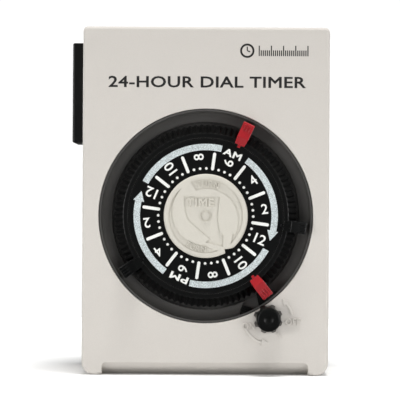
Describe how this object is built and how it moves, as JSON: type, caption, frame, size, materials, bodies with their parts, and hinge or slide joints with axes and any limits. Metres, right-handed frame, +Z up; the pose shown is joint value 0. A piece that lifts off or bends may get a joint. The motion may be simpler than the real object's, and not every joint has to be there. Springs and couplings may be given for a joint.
{
  "type": "mechanical timer",
  "caption": "Plug-in mechanical 24-hour timer: turning dial with clip-on trippers in a round well, rotary on/off knob, three-pin plug behind and a receptacle on the side.",
  "frame": {"origin": "middle of the flat face the timer stands on", "axes": "+Z up along the tall side, -Y out of the dial, +Y out of the plug, -X out of the receptacle"},
  "size_m": [0.1001, 0.083, 0.134],
  "materials": {
    "casing_beige": "fine moulded grain",
    "base_black": "fine moulded grain",
    "well_gloss_black": "polished moulding",
    "dial_black": "satin",
    "disc_beige": "satin",
    "gear_nylon": "natural nylon",
    "tripper_red": "moulded",
    "tripper_black": "moulded",
    "knob_black": "satin",
    "steel": "bright",
    "spring_steel": "bright",
    "screw_zinc": "zinc plated",
    "brass": "rolled",
    "copper_alloy": "rolled",
    "coil_copper": "enamelled",
    "bobbin_white": "plain",
    "magnet_grey": "sintered",
    "phenolic_brown": "pressed",
    "lead_black": "insulation",
    "lead_white": "insulation"
  },
  "bodies": {
    "case": {"front_cover": "casing_beige", "rear_cover": "base_black", "case_screws": "screw_zinc", "dial_well": "well_gloss_black", "time_disc": "disc_beige", "center_post": "steel", "retaining_clip": "spring_steel", "spring_washer": "spring_steel", "frame_plate": "steel", "plate_screws": "screw_zinc", "gearcase": "steel", "motor_can": "steel", "coil_bobbin": "bobbin_white", "motor_coil": "coil_copper", "motor_screws": "screw_zinc", "switch_block": "phenolic_brown", "fixed_contact": "copper_alloy", "detent_spring": "spring_steel", "plug_pin_hot": "brass", "plug_pin_neutral": "brass", "plug_pin_ground": "brass", "receptacle_block": "base_black", "socket_contact_hot": "brass", "socket_contact_neutral": "brass", "socket_contact_ground": "brass", "bus_hot": "brass", "bus_switched": "brass", "bus_neutral": "brass", "ground_strap": "brass", "motor_lead_hot": "lead_black", "motor_lead_neutral": "lead_white"},
    "dial": {"dial_ring": "dial_black", "dial_plate": "dial_black", "dial_gear": "gear_nylon"},
    "tripper_red_upper": {"tripper_red_upper": "tripper_red"},
    "tripper_red_lower": {"tripper_red_lower": "tripper_red"},
    "tripper_black_right": {"tripper_black_right": "tripper_black"},
    "tripper_black_left": {"tripper_black_left": "tripper_black"},
    "output_gear": {"output_shaft": "steel", "output_pinion": "steel", "output_wheel": "gear_nylon"},
    "idler": {"idler_wheel": "gear_nylon", "idler_pinion": "steel"},
    "rotor": {"rotor_shaft": "steel", "rotor_magnet": "magnet_grey"},
    "switch_spindle": {"knob": "knob_black", "switch_shaft": "steel", "star_wheel": "knob_black", "switch_cam": "gear_nylon"},
    "contact_blade": {"moving_contact": "copper_alloy"}
  },
  "joints": [
    {"name": "dial_turn", "type": "hinge", "parent": "case", "child": "dial", "pos_m": [0, 0, 0.0613], "axis": [0, 1, 0], "continuous": true},
    {"name": "red_upper_slide", "type": "slide", "parent": "dial", "child": "tripper_red_upper", "axis": [0, -1, 0], "range_m": [0, 0.012]},
    {"name": "red_lower_slide", "type": "slide", "parent": "dial", "child": "tripper_red_lower", "axis": [0, -1, 0], "range_m": [0, 0.012]},
    {"name": "black_right_slide", "type": "slide", "parent": "dial", "child": "tripper_black_right", "axis": [0, -1, 0], "range_m": [0, 0.012]},
    {"name": "black_left_slide", "type": "slide", "parent": "dial", "child": "tripper_black_left", "axis": [0, -1, 0], "range_m": [0, 0.012]},
    {"name": "output_spin", "type": "hinge", "parent": "case", "child": "output_gear", "pos_m": [-0.0252, 0, 0.0613], "axis": [0, 1, 0], "continuous": true},
    {"name": "idler_spin", "type": "hinge", "parent": "case", "child": "idler", "pos_m": [-0.0192, 0, 0.06879], "axis": [0, 1, 0], "continuous": true},
    {"name": "rotor_spin", "type": "hinge", "parent": "case", "child": "rotor", "pos_m": [-0.0132, 0, 0.0613], "axis": [0, 1, 0], "continuous": true},
    {"name": "knob_turn", "type": "hinge", "parent": "case", "child": "switch_spindle", "pos_m": [0.02424, 0, 0.0219], "axis": [0, -1, 0], "continuous": true},
    {"name": "contact_flex", "type": "hinge", "parent": "case", "child": "contact_blade", "pos_m": [0.01034, 0, 0.0295], "axis": [0, -1, 0], "range_deg": [0, 2.4], "stiffness_Nm_per_rad": 0.25}
  ],
  "couplings": [
    {"joint": "output_spin", "follows": "dial_turn", "ratio": -6},
    {"joint": "idler_spin", "follows": "dial_turn", "ratio": 18},
    {"joint": "rotor_spin", "follows": "dial_turn", "ratio": -54}
  ]
}
